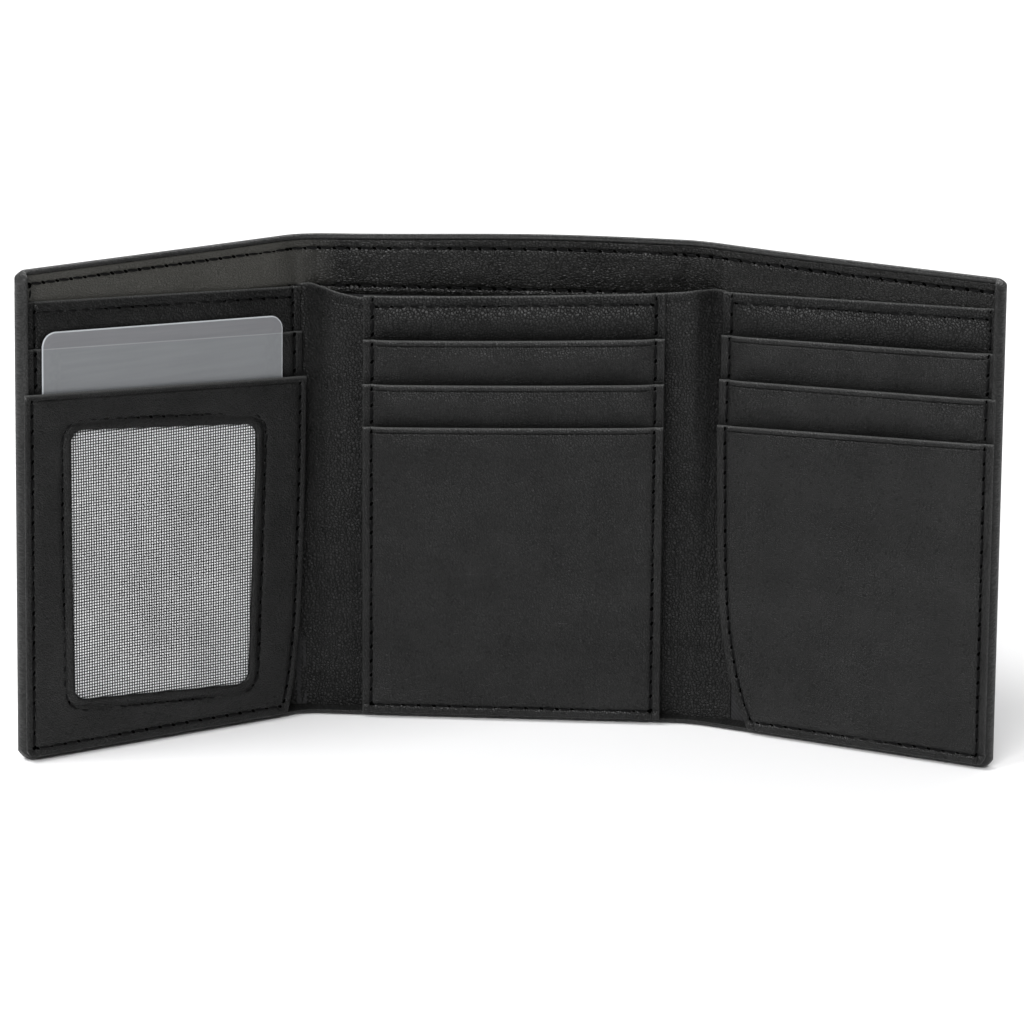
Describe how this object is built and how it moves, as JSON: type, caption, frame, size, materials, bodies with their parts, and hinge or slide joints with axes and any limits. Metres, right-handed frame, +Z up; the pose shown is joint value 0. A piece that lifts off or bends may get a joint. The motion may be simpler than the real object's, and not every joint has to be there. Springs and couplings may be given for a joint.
{
  "type": "trifold wallet",
  "caption": "Black leather trifold wallet with card pockets, a mesh ID window with a slide-out sheet, and a full-width bill compartment.",
  "frame": {"origin": "centre of the footprint, on the plane that the wallet stands on", "axes": "+Z up, +X along the open wallet, +Y from the pockets towards the outer cover"},
  "size_m": [0.212, 0.0474, 0.108],
  "materials": {
    "cover_leather": "black pebbled leather, satin",
    "pocket_leather": "black fine-grain leather, satin",
    "backing_board": "thin grey reinforcement board",
    "lining_fabric": "black twill lining",
    "thread": "black sewing thread",
    "window_mesh": "open black mesh",
    "insert_plastic": "frosted grey plastic sheet"
  },
  "bodies": {
    "center": {"cover_center": "cover_leather", "cover_stiffener_center": "backing_board", "bill_lining_center": "lining_fabric", "facing_strip_center": "pocket_leather", "divider_center": "pocket_leather", "slot_center_upper": "pocket_leather", "slot_center_middle": "pocket_leather", "slot_center_front": "pocket_leather", "seam_thread_center": "thread", "cover_fold_left": "cover_leather", "cover_fold_right": "cover_leather", "gusset_left": "pocket_leather", "gusset_right": "pocket_leather"},
    "left_panel": {"cover_left": "cover_leather", "cover_stiffener_left": "backing_board", "bill_lining_left": "lining_fabric", "facing_strip_left": "pocket_leather", "divider_left": "pocket_leather", "slot_left_rear": "pocket_leather", "id_window_frame": "pocket_leather", "id_window_mesh": "window_mesh", "window_thread": "thread", "seam_thread_left": "thread"},
    "id_insert": {"id_insert_sheet": "insert_plastic"},
    "right_panel": {"cover_right": "cover_leather", "cover_stiffener_right": "backing_board", "bill_lining_right": "lining_fabric", "facing_strip_right": "pocket_leather", "divider_right": "pocket_leather", "slot_right_upper": "pocket_leather", "slot_right_middle": "pocket_leather", "slot_right_front": "pocket_leather", "seam_thread_right": "thread"}
  },
  "joints": [
    {"name": "left_fold", "type": "hinge", "parent": "center", "child": "left_panel", "pos_m": [-0.04288, 0.00978, 0.054], "axis": [0, 0, 1], "range_deg": [-36, 141], "deforming": ["cover_fold_left", "gusset_left"]},
    {"name": "right_fold", "type": "hinge", "parent": "center", "child": "right_panel", "pos_m": [0.03812, 0.01337, 0.054], "axis": [0, 0, -1], "range_deg": [-23, 155], "deforming": ["cover_fold_right", "gusset_right"]},
    {"name": "insert_slide", "type": "slide", "parent": "left_panel", "child": "id_insert", "axis": [0, 0, 1], "range_m": [0, 0.06]}
  ]
}
